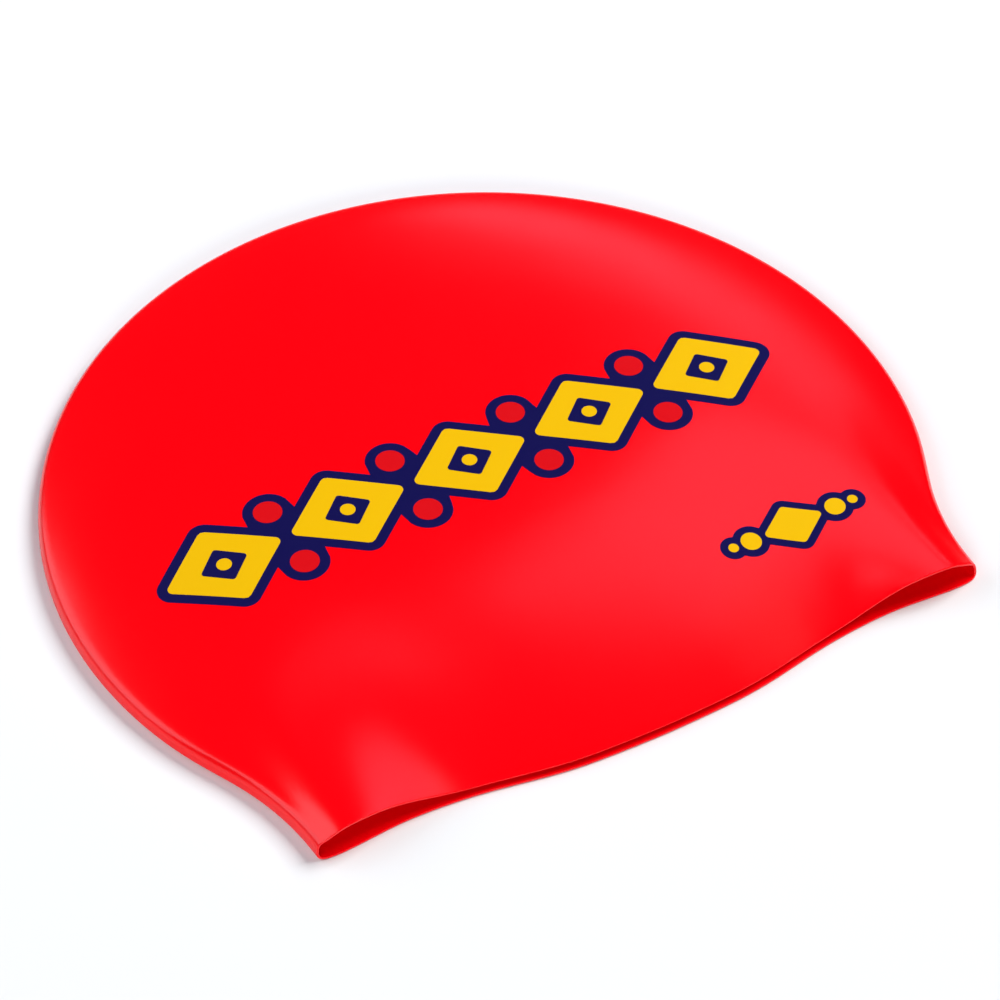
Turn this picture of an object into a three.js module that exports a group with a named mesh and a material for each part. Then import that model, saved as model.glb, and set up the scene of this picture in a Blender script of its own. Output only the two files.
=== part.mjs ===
// Swim cap of moulded silicone rubber, lying folded flat in two layers, as it is stored.
// Millimetres. +X runs along the mouth, +Y from the mouth to the crown, +Z up.
// The origin is on the ground, under the middle of the cap's box.
import * as THREE from 'three';

// Outline of the flattened cap, along the outermost line of its fold
const CAP_WIDTH = 220; // across the widest part
const CROWN_HEIGHT = 192.9; // from the line between the mouth's corners up to the crown
const MOUTH_INSET = 18.8; // each corner of the mouth stands this far inside the widest part

// The two layers and the fold that joins them
const WALL = 0.7; // the silicone
const LIP_WALL = 0.75; // the same at the cut edge of the mouth
const LIP_WIDTH = 5; // the lip thins to the wall over this much
const FOLD_HEIGHT = 4.6; // over both layers at the fold, round the crown
const FOLD_LINE = 0.35; // the fold's outermost line stands at this share of its height
const FOLD_REACH = 0.45; // the fold's rounding reaches in by this share of its height
const FOLD_TURN = 0.8; // below 1 its upper and lower turns are tighter than an ellipse's
const SHOULDER_RISE = 0.9; // the upper layer rounds up by this much just inside the fold
const SHOULDER_REACH = 6; // most of it over this much
const BELLY_HEIGHT = 12.5; // over both layers at the middle
const BELLY_REACH = 82; // the upper layer rises from the fold to the belly over this much

// The mouth: pressed flat in its middle, with an open loop at each end of the fold
const LOOP_FOLD = 5.2; // over both layers at the fold, beside the mouth
const LOOP_HEIGHT = 8.2; // over both layers at a loop's highest place
const LOOP_CREST = 8; // which is this far from its corner
const LOOP_LENGTH = 43; // and it has closed this far from its corner
const MOUTH_GAP = 0.8; // between the two lips where they are pressed together
const MOUTH_REACH = 78; // the pressed mouth opens to the belly over this much
const LIP_STEP = 0.8; // the lower lip shows beyond the upper one by this much

// The mouth's edge waves: out in the middle, in beside the loops
const RIM_WAVE = 3.8; // the middle of the edge stands this far outside the corners
const WAVE_REACH = 60; // the wave has faded out this far above the mouth
const RIM_STATIONS = [
  { along: 0, out: 1 },
  { along: 0.27, out: 0.72 },
  { along: 0.52, out: -0.38 },
  { along: 0.73, out: -0.85 },
  { along: 0.88, out: -0.5 },
  { along: 0.95, out: -0.44 },
  { along: 1, out: -0.65 },
];

// Facets: columns run in from the fold, rows run along it
const COLUMNS = 52;
const SIDE_COLUMNS = 19; // of them beside the middle patch, at each side
const TOP_ROWS = 8;
const FOLD_ROWS = 10;
const BOTTOM_ROWS = 4;
const BAND_SHARE = 0.34; // the columns are this share of the half width long
const CLUSTER = 1.6; // rows stand closer together towards the fold
const DOME_POWER = 2.2; // how soon the upper layer levels off above the fold

// Worked-out places on the outline: the crown's circle, and the flare at each side of the
// mouth, an arc that is upright at the mouth and meets the crown's circle smoothly
const crownRadius = CAP_WIDTH / 2;
const crownCentre = CROWN_HEIGHT - crownRadius;
const halfMouth = crownRadius - MOUTH_INSET;
const flareRadius =
  (halfMouth ** 2 + crownCentre ** 2 - crownRadius ** 2) / (2 * MOUTH_INSET);
const flareCentre = halfMouth + flareRadius;
const flareAngle = Math.atan2(crownCentre, flareCentre);
const flareLength = flareRadius * flareAngle;
const crownLength = crownRadius * (Math.PI + 2 * flareAngle);
const foldLength = 2 * flareLength + crownLength;
const bandDepth = BAND_SHARE * crownRadius;
const rows = TOP_ROWS + FOLD_ROWS + BOTTOM_ROWS;

const clamp = THREE.MathUtils.clamp;
const mix = THREE.MathUtils.lerp;
const ease = THREE.MathUtils.smoothstep;

// How far the cap has opened from its mouth, 0 at the lips and 1 from MOUTH_REACH on
function opened(y) {
  return 1 - (1 - clamp(y / MOUTH_REACH, 0, 1)) ** 2;
}

// Height of the fold's rounding, largest beside the mouth
function foldHeight(y) {
  return mix(LOOP_FOLD, FOLD_HEIGHT, opened(y));
}

// Distance from a place in plan to the outline
function insideFold(x, y) {
  const side = Math.abs(x);
  const besideFlare = y < crownCentre * (1 - side / flareCentre);
  if (besideFlare) {
    return Math.hypot(flareCentre - side, y) - flareRadius;
  }
  return crownRadius - Math.hypot(side, y - crownCentre);
}

// Height of the upper layer over the ground, before the fold rounds it off
function upperHeight(x, y) {
  const fromCorner = halfMouth - Math.abs(x);
  const loop = 1 - ease(fromCorner, LOOP_CREST, LOOP_LENGTH);
  const rising = mix(LOOP_FOLD, LOOP_HEIGHT, ease(fromCorner, 0, LOOP_CREST));
  const mouth = mix(2 * LIP_WALL + MOUTH_GAP, rising, loop);
  const fromFold = Math.max(insideFold(x, y), 0);
  const shoulder = FOLD_HEIGHT + SHOULDER_RISE * (1 - Math.exp(-fromFold / SHOULDER_REACH));
  const inside = Math.min(fromFold / BELLY_REACH, 1);
  const dome = mix(shoulder, BELLY_HEIGHT, 1 - (1 - inside) ** DOME_POWER);
  return mix(mouth, dome, opened(y));
}

// The rim's wave, as a smooth curve through the stations, out is towards -Y
const rimCurve = new THREE.SplineCurve(
  RIM_STATIONS.map((station) => new THREE.Vector2(station.along, station.out)),
);
const rimSamples = rimCurve.getPoints(20 * RIM_STATIONS.length);

function rimWave(x) {
  const along = clamp(Math.abs(x) / halfMouth, 0, 1);
  const next = Math.max(1, rimSamples.findIndex((sample) => sample.x >= along));
  const before = rimSamples[next - 1];
  const after = rimSamples[next];
  const share = (along - before.x) / (after.x - before.x);
  return RIM_WAVE * mix(before.y, after.y, share);
}

// Moves a place near the mouth out or in with the wave, and the lower lip past the upper
function settle(x, y, z, lower) {
  const wave = rimWave(x) * (1 - ease(y, 0, WAVE_REACH));
  const step = LIP_STEP * lower * (1 - ease(y, 0, MOUTH_REACH));
  return new THREE.Vector3(x, y - wave - step, z);
}

// A place on the outline, by column, with the direction into the cap
function foldPlace(column) {
  const share = column / COLUMNS;
  const travelled = foldLength * (share / 2 + (1 - Math.cos(Math.PI * share)) / 4);
  const mirrored = travelled > foldLength / 2;
  const fromMouth = mirrored ? foldLength - travelled : travelled;
  const sign = mirrored ? 1 : -1;
  if (fromMouth < flareLength) {
    const angle = fromMouth / flareRadius;
    return {
      x: sign * (flareCentre - flareRadius * Math.cos(angle)),
      y: flareRadius * Math.sin(angle),
      inX: -sign * Math.cos(angle),
      inY: Math.sin(angle),
    };
  }
  const angle = (fromMouth - flareLength) / crownRadius - flareAngle;
  return {
    x: sign * crownRadius * Math.cos(angle),
    y: crownCentre + crownRadius * Math.sin(angle),
    inX: -sign * Math.cos(angle),
    inY: -Math.sin(angle),
  };
}

function planPlace(column, depth) {
  const fold = foldPlace(column);
  return new THREE.Vector2(fold.x + fold.inX * depth, fold.y + fold.inY * depth);
}

// A point of the band along the fold: over the upper layer, round the fold, under the lower
function bandPoint(column, row) {
  const height = foldHeight(foldPlace(column).y);
  const line = FOLD_LINE * height;
  const turnRow = clamp(row - TOP_ROWS, 0, FOLD_ROWS);
  const turn = Math.PI * (0.5 - turnRow / FOLD_ROWS);
  const out = Math.cos(turn) ** FOLD_TURN;
  const up = Math.sign(turn) * Math.abs(Math.sin(turn)) ** FOLD_TURN;
  const aboveFold = Math.max(TOP_ROWS - row, 0) / TOP_ROWS;
  const belowFold = Math.max(row - TOP_ROWS - FOLD_ROWS, 0) / BOTTOM_ROWS;
  const flatShare = (aboveFold + belowFold) ** CLUSTER;
  const depth = mix(FOLD_REACH * height * (1 - out), bandDepth, flatShare);
  const plan = planPlace(column, depth);
  const rise = turn > 0 ? upperHeight(plan.x, plan.y) - line : line;
  const lower = (1 - Math.sin(turn)) / 2;
  return settle(plan.x, plan.y, line + rise * up, lower);
}

// A place in the middle patch, blended from the band's inner edge and the mouth's edge
function patchPlace(across, up) {
  const wide = COLUMNS - 2 * SIDE_COLUMNS;
  const a = across / wide;
  const b = up / SIDE_COLUMNS;
  const left = planPlace(up, bandDepth);
  const right = planPlace(COLUMNS - up, bandDepth);
  const crown = planPlace(SIDE_COLUMNS + across, bandDepth);
  const mouthLeft = planPlace(0, bandDepth);
  const mouthRight = planPlace(COLUMNS, bandDepth);
  const mouth = mouthLeft.clone().lerp(mouthRight, a);
  const crownLeft = planPlace(SIDE_COLUMNS, bandDepth);
  const crownRight = planPlace(COLUMNS - SIDE_COLUMNS, bandDepth);
  const sides = left.lerp(right, a);
  const ends = mouth.clone().lerp(crown, b);
  const corners = mouth.lerp(crownLeft.lerp(crownRight, a), b);
  return sides.add(ends).sub(corners);
}

// The outer sheet, one surface from lip to lip, as points and the quads between them
function outerSheet() {
  const points = [];
  const quads = [];
  const add = (point) => points.push(point) - 1;
  const join = (ids, flip) => {
    for (let i = 1; i < ids.length; i += 1) {
      for (let k = 1; k < ids[i].length; k += 1) {
        const quad = [ids[i - 1][k - 1], ids[i][k - 1], ids[i][k], ids[i - 1][k]];
        quads.push(flip ? quad.reverse() : quad);
      }
    }
  };
  const band = [];
  for (let column = 0; column <= COLUMNS; column += 1) {
    band.push([]);
    for (let row = 0; row <= rows; row += 1) {
      band[column].push(add(bandPoint(column, row)));
    }
  }
  const wide = COLUMNS - 2 * SIDE_COLUMNS;
  const patch = (row, lower) => {
    const ids = [];
    for (let across = 0; across <= wide; across += 1) {
      ids.push([]);
      for (let up = 0; up <= SIDE_COLUMNS; up += 1) {
        const onLeft = across === 0;
        const onRight = across === wide;
        const onCrown = up === SIDE_COLUMNS;
        if (onLeft) {
          ids[across].push(band[up][row]);
        } else if (onRight) {
          ids[across].push(band[COLUMNS - up][row]);
        } else if (onCrown) {
          ids[across].push(band[SIDE_COLUMNS + across][row]);
        } else {
          const plan = patchPlace(across, up);
          const height = lower ? 0 : upperHeight(plan.x, plan.y);
          ids[across].push(add(settle(plan.x, plan.y, height, lower)));
        }
      }
    }
    return ids;
  };
  join(band, false);
  join(patch(0, 0), false);
  join(patch(rows, 1), true);
  return { points, quads };
}

// A closed shell: the outer sheet, the same sheet one wall further in, and the cut edge
// that joins them all round the mouth
function shellGeometry({ points, quads }) {
  const triangles = quads.flatMap(([a, b, c, d]) => [[a, b, c], [a, c, d]]);
  const outer = new THREE.BufferGeometry().setFromPoints(points);
  outer.setIndex(triangles.flat());
  outer.computeVertexNormals();
  const normals = outer.getAttribute('normal');
  const inner = points.map((point, i) => {
    const wall = mix(LIP_WALL, WALL, ease(point.y, 0, LIP_WIDTH));
    const normal = new THREE.Vector3().fromBufferAttribute(normals, i);
    return point.clone().addScaledVector(normal, -wall);
  });
  const edges = new Set();
  for (const [a, b, c] of triangles) {
    edges.add(`${a} ${b}`).add(`${b} ${c}`).add(`${c} ${a}`);
  }
  const count = points.length;
  const faces = triangles.flatMap(([a, b, c]) => [a, b, c, c + count, b + count, a + count]);
  for (const edge of edges) {
    const [from, to] = edge.split(' ').map(Number);
    const atMouth = !edges.has(`${to} ${from}`);
    if (atMouth) {
      faces.push(to, from, from + count, to, from + count, to + count);
    }
  }
  const shell = new THREE.BufferGeometry().setFromPoints([...points, ...inner]);
  shell.setIndex(faces);
  shell.computeBoundingBox();
  const centre = shell.boundingBox.getCenter(new THREE.Vector3());
  shell.translate(-centre.x, -centre.y, -shell.boundingBox.min.z);
  shell.computeVertexNormals();
  return shell;
}

const silicone = new THREE.MeshStandardMaterial({
  color: 0xf2101f,
  roughness: 0.42,
  metalness: 0,
});

const cap = new THREE.Mesh(shellGeometry(outerSheet()), silicone);
cap.name = 'cap_shell';

const swimCap = new THREE.Group();
swimCap.add(cap);

export default swimCap;
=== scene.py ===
import math

import bpy
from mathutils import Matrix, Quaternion, Vector


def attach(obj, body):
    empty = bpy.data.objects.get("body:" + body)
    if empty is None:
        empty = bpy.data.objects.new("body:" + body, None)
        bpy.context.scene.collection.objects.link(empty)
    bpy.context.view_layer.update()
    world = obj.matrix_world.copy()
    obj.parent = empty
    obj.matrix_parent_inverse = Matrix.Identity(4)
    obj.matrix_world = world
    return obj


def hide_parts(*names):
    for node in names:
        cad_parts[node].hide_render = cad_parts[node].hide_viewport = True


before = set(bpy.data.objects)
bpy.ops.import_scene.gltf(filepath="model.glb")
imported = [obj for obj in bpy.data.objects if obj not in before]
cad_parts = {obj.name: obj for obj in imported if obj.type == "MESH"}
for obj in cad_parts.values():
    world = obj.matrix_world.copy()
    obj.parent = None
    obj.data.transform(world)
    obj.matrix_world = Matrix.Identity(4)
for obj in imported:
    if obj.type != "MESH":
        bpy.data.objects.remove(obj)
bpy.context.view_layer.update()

# The cap's shell: one wall of silicone rubber, moulded in one shot, lying folded flat.
# Its lips are the trimmed edge of the moulding, and their corners are slightly rounded.
SHELL_NODE = "cap_shell"
BODY = "root"
SILICONE_RED = "F7000C"
SILICONE_RED_DEEP = "F30009"
SILICONE_IOR = 1.41
SILICONE_ROUGHNESS = (0.19, 0.22)
MOULD_GRAIN = 0.0006
MOULD_GRAIN_DEPTH = 0.0001
TOUCH_PATCH = 0.028
LIP_ROUNDING = 0.00022
MERGE = 0.00001
SHARP = math.radians(50)
QUAD_FLATNESS = math.radians(40)
QUAD_SHAPE = math.radians(60)
SMOOTH_LEVELS = 2


def linear(hex_colour):
    channels = [int(hex_colour[i:i + 2], 16) / 255 for i in (0, 2, 4)]
    curve = [c / 12.92 if c <= 0.04045 else ((c + 0.055) / 1.055) ** 2.4 for c in channels]
    return (*curve, 1)


def add_node(tree, kind, settings=None, values=None, links=None):
    node = tree.nodes.new(kind)
    for name, value in (settings or {}).items():
        setattr(node, name, value)
    for socket, value in (values or {}).items():
        node.inputs[socket].default_value = value
    for socket, source in (links or {}).items():
        tree.links.new(source, node.inputs[socket])
    return node


def new_material(name):
    material = bpy.data.materials.new(name)
    material.use_nodes = True
    material.node_tree.nodes.clear()
    return material, material.node_tree


# Satin moulded silicone rubber: a soft, even gloss from the polished mould, with a very
# fine mould grain and faint powdery patches where hands have touched it.
silicone, tree = new_material("moulded_silicone_rubber_red")
place = add_node(tree, "ShaderNodeTexCoord").outputs["Object"]
grain = add_node(
    tree, "ShaderNodeTexNoise",
    values={"Scale": 1 / MOULD_GRAIN, "Detail": 2, "Roughness": 0.5},
    links={"Vector": place},
)
patches = add_node(
    tree, "ShaderNodeTexNoise",
    values={"Scale": 1 / TOUCH_PATCH, "Detail": 3, "Roughness": 0.55},
    links={"Vector": place},
)
red = add_node(
    tree, "ShaderNodeMix",
    settings={"data_type": "RGBA"},
    values={6: linear(SILICONE_RED), 7: linear(SILICONE_RED_DEEP)},
    links={0: patches.outputs["Fac"]},
)
gloss = add_node(
    tree, "ShaderNodeMapRange",
    values={
        "From Min": 0.3, "From Max": 0.7,
        "To Min": SILICONE_ROUGHNESS[0], "To Max": SILICONE_ROUGHNESS[1],
    },
    links={"Value": patches.outputs["Fac"]},
)
relief = add_node(
    tree, "ShaderNodeBump",
    values={"Strength": 0.05, "Distance": MOULD_GRAIN_DEPTH},
    links={"Height": grain.outputs["Fac"]},
)
surface = add_node(
    tree, "ShaderNodeBsdfPrincipled",
    values={"IOR": SILICONE_IOR},
    links={
        "Base Color": red.outputs[2],
        "Roughness": gloss.outputs["Result"],
        "Normal": relief.outputs["Normal"],
    },
)
add_node(tree, "ShaderNodeOutputMaterial", links={"Surface": surface.outputs["BSDF"]})

bpy.ops.object.select_all(action="DESELECT")
shell = bpy.data.objects.new("silicone_shell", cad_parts[SHELL_NODE].data.copy())
bpy.context.scene.collection.objects.link(shell)
shell.select_set(True)
bpy.context.view_layer.objects.active = shell
bpy.ops.object.mode_set(mode="EDIT")
bpy.ops.mesh.select_mode(type="VERT")
bpy.ops.mesh.select_all(action="SELECT")
bpy.ops.mesh.remove_doubles(threshold=MERGE)
bpy.ops.mesh.tris_convert_to_quads(face_threshold=QUAD_FLATNESS, shape_threshold=QUAD_SHAPE)
bpy.ops.mesh.select_mode(type="EDGE")
bpy.ops.mesh.select_all(action="DESELECT")
bpy.ops.mesh.edges_select_sharp(sharpness=SHARP)
bpy.ops.mesh.bevel(offset=LIP_ROUNDING, segments=2, affect="EDGES")
bpy.ops.mesh.select_all(action="DESELECT")
bpy.ops.object.mode_set(mode="OBJECT")
smoothing = shell.modifiers.new("smooth wall", "SUBSURF")
smoothing.levels = SMOOTH_LEVELS
smoothing.render_levels = SMOOTH_LEVELS
bpy.ops.object.modifier_apply(modifier=smoothing.name)
bpy.ops.object.shade_smooth()
shell.data.materials.clear()
shell.data.materials.append(silicone)
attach(shell, BODY)
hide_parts(SHELL_NODE)

# The printed band: a row of lozenges with discs between them, in navy, yellow and dark red.
# It is silicone ink, screen printed on the upper layer, each colour a thin film of its own
# laid over the navy ground.
BAND_CENTRE = (-0.002, -0.007)
LOZENGE_PITCH = 0.034
LOZENGE_COUNT = 5
LOZENGE = (0.0137, 0.0109)
LOZENGE_ROUNDING = 0.0015
KEYLINE = 0.0026
PAIR_DISC = 0.0036
PAIR_DISC_RISE = 0.0095
HEART = (0.0052, 0.0046)
HEART_ROUNDING = 0.0008
DOT = 0.0019
INK_STEP = 0.00008
FILM_THICKNESS = 1.25 * INK_STEP
FILM_START_HEIGHT = 0.05
SCREEN_MESH = 0.0009
SCREEN_MESH_DEPTH = 0.0001
INK_IOR = 1.43
INK_NAVY = "0E0A46"
INK_YELLOW = "E0AE00"
INK_DARK_RED = "CC0710"


# Cured silicone ink: matt and even, with the faint mark of the printing screen. The real
# screen's threads are finer, and are drawn as coarse as they need to show.
def ink_material(name, colour):
    material, tree = new_material(name)
    place = add_node(tree, "ShaderNodeTexCoord").outputs["Object"]
    screen = add_node(
        tree, "ShaderNodeTexNoise",
        values={"Scale": 1 / SCREEN_MESH, "Detail": 2},
        links={"Vector": place},
    )
    relief = add_node(
        tree, "ShaderNodeBump",
        values={"Strength": 0.08, "Distance": SCREEN_MESH_DEPTH},
        links={"Height": screen.outputs["Fac"]},
    )
    surface = add_node(
        tree, "ShaderNodeBsdfPrincipled",
        values={
            "Base Color": linear(colour), "IOR": INK_IOR, "Roughness": 0.5,
            "Specular IOR Level": 0.2,
        },
        links={"Normal": relief.outputs["Normal"]},
    )
    add_node(tree, "ShaderNodeOutputMaterial", links={"Surface": surface.outputs["BSDF"]})
    return material


navy = ink_material("silicone_screen_ink_navy", INK_NAVY)
yellow = ink_material("silicone_screen_ink_yellow", INK_YELLOW)
dark_red = ink_material("silicone_screen_ink_dark_red", INK_DARK_RED)


def lozenge_edge(x, half, rounding):
    wide, high = half
    side = math.hypot(wide, high)
    lean, rise = high / side, wide / side
    x = abs(x)
    if x <= rounding * lean:
        return high + math.sqrt(rounding ** 2 - x ** 2)
    if x <= wide + rounding * lean:
        return (lean * (wide - x) + rounding) / rise
    return math.sqrt(max(rounding ** 2 - (x - wide) ** 2, 0))


def disc_edge(x, radius):
    return math.sqrt(max(radius ** 2 - x ** 2, 0))


def ink_film(name, centre, length, edge, layer, columns=48, rows=12):
    bpy.ops.object.select_all(action="DESELECT")
    bpy.ops.mesh.primitive_grid_add(x_subdivisions=columns, y_subdivisions=rows, size=2)
    film = bpy.context.object
    film.name = name
    for vertex in film.data.vertices:
        along = math.sin(vertex.co.x * math.pi / 2) * length / 2
        across = vertex.co.y * edge(along)
        vertex.co = (centre[0] + along, centre[1] + across, FILM_START_HEIGHT)
    bpy.ops.object.mode_set(mode="EDIT")
    bpy.ops.mesh.select_all(action="SELECT")
    bpy.ops.mesh.remove_doubles(threshold=MERGE)
    bpy.ops.object.mode_set(mode="OBJECT")
    drop = film.modifiers.new("laid on the shell", "SHRINKWRAP")
    drop.target = shell
    drop.wrap_method = "PROJECT"
    drop.use_project_z = True
    drop.use_negative_direction = True
    drop.use_positive_direction = False
    drop.offset = layer * INK_STEP
    bpy.ops.object.modifier_apply(modifier=drop.name)
    body = film.modifiers.new("film", "SOLIDIFY")
    body.thickness = FILM_THICKNESS
    body.offset = -1
    bpy.ops.object.modifier_apply(modifier=body.name)
    bpy.ops.object.shade_smooth_by_angle(angle=SHARP)
    return film


def join_films(name, films, material):
    bpy.ops.object.select_all(action="DESELECT")
    for film in films:
        film.select_set(True)
    bpy.context.view_layer.objects.active = films[0]
    bpy.ops.object.join()
    joined = bpy.context.object
    joined.name = name
    joined.data.materials.clear()
    joined.data.materials.append(material)
    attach(joined, BODY)


lozenge_places = [
    (i - (LOZENGE_COUNT - 1) / 2) * LOZENGE_PITCH for i in range(LOZENGE_COUNT)
]
pair_places = [along + LOZENGE_PITCH / 2 for along in lozenge_places[:-1]]


def band_edge(x):
    outer = LOZENGE_ROUNDING + KEYLINE
    edges = [
        lozenge_edge(x - along, LOZENGE, outer)
        for along in lozenge_places if abs(x - along) <= LOZENGE[0] + outer
    ]
    for along in pair_places:
        if abs(x - along) <= PAIR_DISC + KEYLINE:
            edges.append(PAIR_DISC_RISE + disc_edge(x - along, PAIR_DISC + KEYLINE))
    return max(edges, default=0)


def placed(along, across=0):
    return (BAND_CENTRE[0] + along, BAND_CENTRE[1] + across)


band_length = 2 * (lozenge_places[-1] + LOZENGE[0] + LOZENGE_ROUNDING + KEYLINE)
band = ink_film("band", BAND_CENTRE, band_length, band_edge, 1, columns=420, rows=20)
join_films("ink_band_navy", [band], navy)
lozenges = [
    ink_film(
        "lozenge", placed(along), 2 * (LOZENGE[0] + LOZENGE_ROUNDING),
        lambda x: lozenge_edge(x, LOZENGE, LOZENGE_ROUNDING), 2,
    )
    for along in lozenge_places
]
join_films("ink_band_yellow", lozenges, yellow)
pairs = [
    ink_film("pair", placed(along, across), 2 * PAIR_DISC, lambda x: disc_edge(x, PAIR_DISC), 2)
    for along in pair_places
    for across in (-PAIR_DISC_RISE, PAIR_DISC_RISE)
]
join_films("ink_band_dark_red", pairs, dark_red)
hearts = [
    ink_film(
        "heart", placed(along), 2 * (HEART[0] + HEART_ROUNDING),
        lambda x: lozenge_edge(x, HEART, HEART_ROUNDING), 3,
    )
    for along in lozenge_places
]
join_films("ink_band_hearts_navy", hearts, navy)
dots = [
    ink_film("dot", placed(along), 2 * DOT, lambda x: disc_edge(x, DOT), 4)
    for along in lozenge_places
]
join_films("ink_band_dots_yellow", dots, yellow)

# The small badge near the mouth: one lozenge between two pairs of discs.
# It is printed in the same navy and yellow inks as the band.
BADGE_CENTRE = (0.0575, -0.0615)
BADGE_LOZENGE = (0.0068, 0.0048)
BADGE_ROUNDING = 0.0010
BADGE_KEYLINE = 0.0020
BADGE_DISCS = [(0.0120, 0.0026), (0.0170, 0.0013)]


def badge_edge(x):
    edges = []
    outer = BADGE_ROUNDING + BADGE_KEYLINE
    if abs(x) <= BADGE_LOZENGE[0] + outer:
        edges.append(lozenge_edge(x, BADGE_LOZENGE, outer))
    for along, radius in BADGE_DISCS:
        if abs(abs(x) - along) <= radius + BADGE_KEYLINE:
            edges.append(disc_edge(abs(x) - along, radius + BADGE_KEYLINE))
    return max(edges, default=0)


badge_length = 2 * (BADGE_DISCS[-1][0] + BADGE_DISCS[-1][1] + BADGE_KEYLINE)
badge = ink_film("badge", BADGE_CENTRE, badge_length, badge_edge, 1, columns=160, rows=14)
join_films("ink_badge_navy", [badge], navy)
badge_lozenge = ink_film(
    "badge_lozenge", BADGE_CENTRE, 2 * (BADGE_LOZENGE[0] + BADGE_ROUNDING),
    lambda x: lozenge_edge(x, BADGE_LOZENGE, BADGE_ROUNDING), 2,
)
badge_discs = [
    ink_film(
        "badge_disc", (BADGE_CENTRE[0] + side * along, BADGE_CENTRE[1]), 2 * radius,
        lambda x, radius=radius: disc_edge(x, radius), 2, columns=24, rows=8,
    )
    for along, radius in BADGE_DISCS
    for side in (-1, 1)
]
join_films("ink_badge_yellow", [badge_lozenge] + badge_discs, yellow)

# The studio: a sheet of matt, nearly white paper under the cap, and soft lights round it.
# The floor is lit until it is just white, and the cap leaves a soft contact shadow on it.
FLOOR_SIZE = 8
FLOOR_DROP = 0.00004
PAPER_WHITE = "E5E5E5"
PAPER_FIBRE = 0.0025
PAPER_FIBRE_DEPTH = 0.0002
ROOM_LIGHT = (0.02, 0.022, 0.028, 1)
WHITE = (1, 1, 1)
COOL = (0.80, 0.95, 1.35)
SLIGHTLY_COOL = (0.93, 1.0, 1.10)

floor_material, tree = new_material("matt_white_paper")
place = add_node(tree, "ShaderNodeTexCoord").outputs["Object"]
fibre = add_node(
    tree, "ShaderNodeTexNoise",
    values={"Scale": 1 / PAPER_FIBRE, "Detail": 2},
    links={"Vector": place},
)
relief = add_node(
    tree, "ShaderNodeBump",
    values={"Strength": 0.02, "Distance": PAPER_FIBRE_DEPTH},
    links={"Height": fibre.outputs["Fac"]},
)
surface = add_node(
    tree, "ShaderNodeBsdfPrincipled",
    values={"Base Color": linear(PAPER_WHITE), "Roughness": 0.9, "Specular IOR Level": 0.1},
    links={"Normal": relief.outputs["Normal"]},
)
add_node(tree, "ShaderNodeOutputMaterial", links={"Surface": surface.outputs["BSDF"]})
bpy.ops.object.select_all(action="DESELECT")
bpy.ops.mesh.primitive_plane_add(size=FLOOR_SIZE, location=(0, 0, -FLOOR_DROP))
floor = bpy.context.object
floor.name = "floor"
floor.data.materials.append(floor_material)

world = bpy.data.worlds.new("studio")
bpy.context.scene.world = world
world.use_nodes = True
world.node_tree.nodes["Background"].inputs["Color"].default_value = ROOM_LIGHT


# A softbox faces the cap from its azimuth, counted from +X towards +Y, and elevation, both
# in degrees. Its distance and its width and height are in metres.
def softbox(name, azimuth, elevation, distance, size, radiance, colour=WHITE, roll=0):
    light = bpy.data.lights.new(name, "AREA")
    light.shape = "RECTANGLE"
    light.size, light.size_y = size
    light.energy = radiance * math.pi * size[0] * size[1]
    light.color = colour
    lamp = bpy.data.objects.new(name, light)
    bpy.context.scene.collection.objects.link(lamp)
    azimuth, elevation = math.radians(azimuth), math.radians(elevation)
    direction = Vector((
        math.cos(azimuth) * math.cos(elevation),
        math.sin(azimuth) * math.cos(elevation),
        math.sin(elevation),
    ))
    lamp.location = direction * distance
    turned = Quaternion((0, 0, 1), math.radians(roll))
    lamp.rotation_euler = (direction.to_track_quat("Z", "Y") @ turned).to_euler()
    return lamp


key = softbox(
    "key_softbox", azimuth=5, elevation=46, distance=3.0, size=(1.6, 1.6), radiance=13.2
)
key.visible_glossy = False
softbox(
    "front_softbox", azimuth=-115, elevation=22, distance=3.2, size=(2.0, 1.0), radiance=10.0
)
softbox(
    "left_softbox", azimuth=140, elevation=32, distance=1.6, size=(1.8, 1.2), radiance=2.4,
    colour=SLIGHTLY_COOL,
)
softbox(
    "back_right_strip", azimuth=51, elevation=29, distance=1.6, size=(0.80, 0.12),
    radiance=1.4, colour=COOL, roll=-38,
)
softbox(
    "right_softbox", azimuth=31, elevation=52, distance=0.48, size=(0.16, 0.19),
    radiance=1.0, colour=COOL,
)
softbox(
    "top_softbox", azimuth=66, elevation=66, distance=1.5, size=(0.12, 0.12), radiance=2.4,
    colour=COOL,
)

# The camera stands at the photograph's viewing angle, with a long lens.
# Its angles, distance and target were fitted to the cap's outline in the photograph.
CAMERA_AZIMUTH = math.radians(-29.89)
CAMERA_ELEVATION = math.radians(45.52)
CAMERA_DISTANCE = 1.3679
CAMERA_TARGET = Vector((0.00384, -0.01181, 0))
LENS = 200
SENSOR_WIDTH = 36
CLIP_START = 0.01
ahead = Vector((
    -math.sin(CAMERA_AZIMUTH) * math.cos(CAMERA_ELEVATION),
    math.cos(CAMERA_AZIMUTH) * math.cos(CAMERA_ELEVATION),
    -math.sin(CAMERA_ELEVATION),
))
lens = bpy.data.cameras.new("camera")
lens.lens = LENS
lens.sensor_width = SENSOR_WIDTH
lens.clip_start = CLIP_START
camera = bpy.data.objects.new("camera", lens)
bpy.context.scene.collection.objects.link(camera)
camera.location = CAMERA_TARGET - ahead * CAMERA_DISTANCE
camera.rotation_euler = ahead.to_track_quat("-Z", "Y").to_euler()
bpy.context.scene.camera = camera
bpy.context.scene.view_settings.view_transform = "Standard"
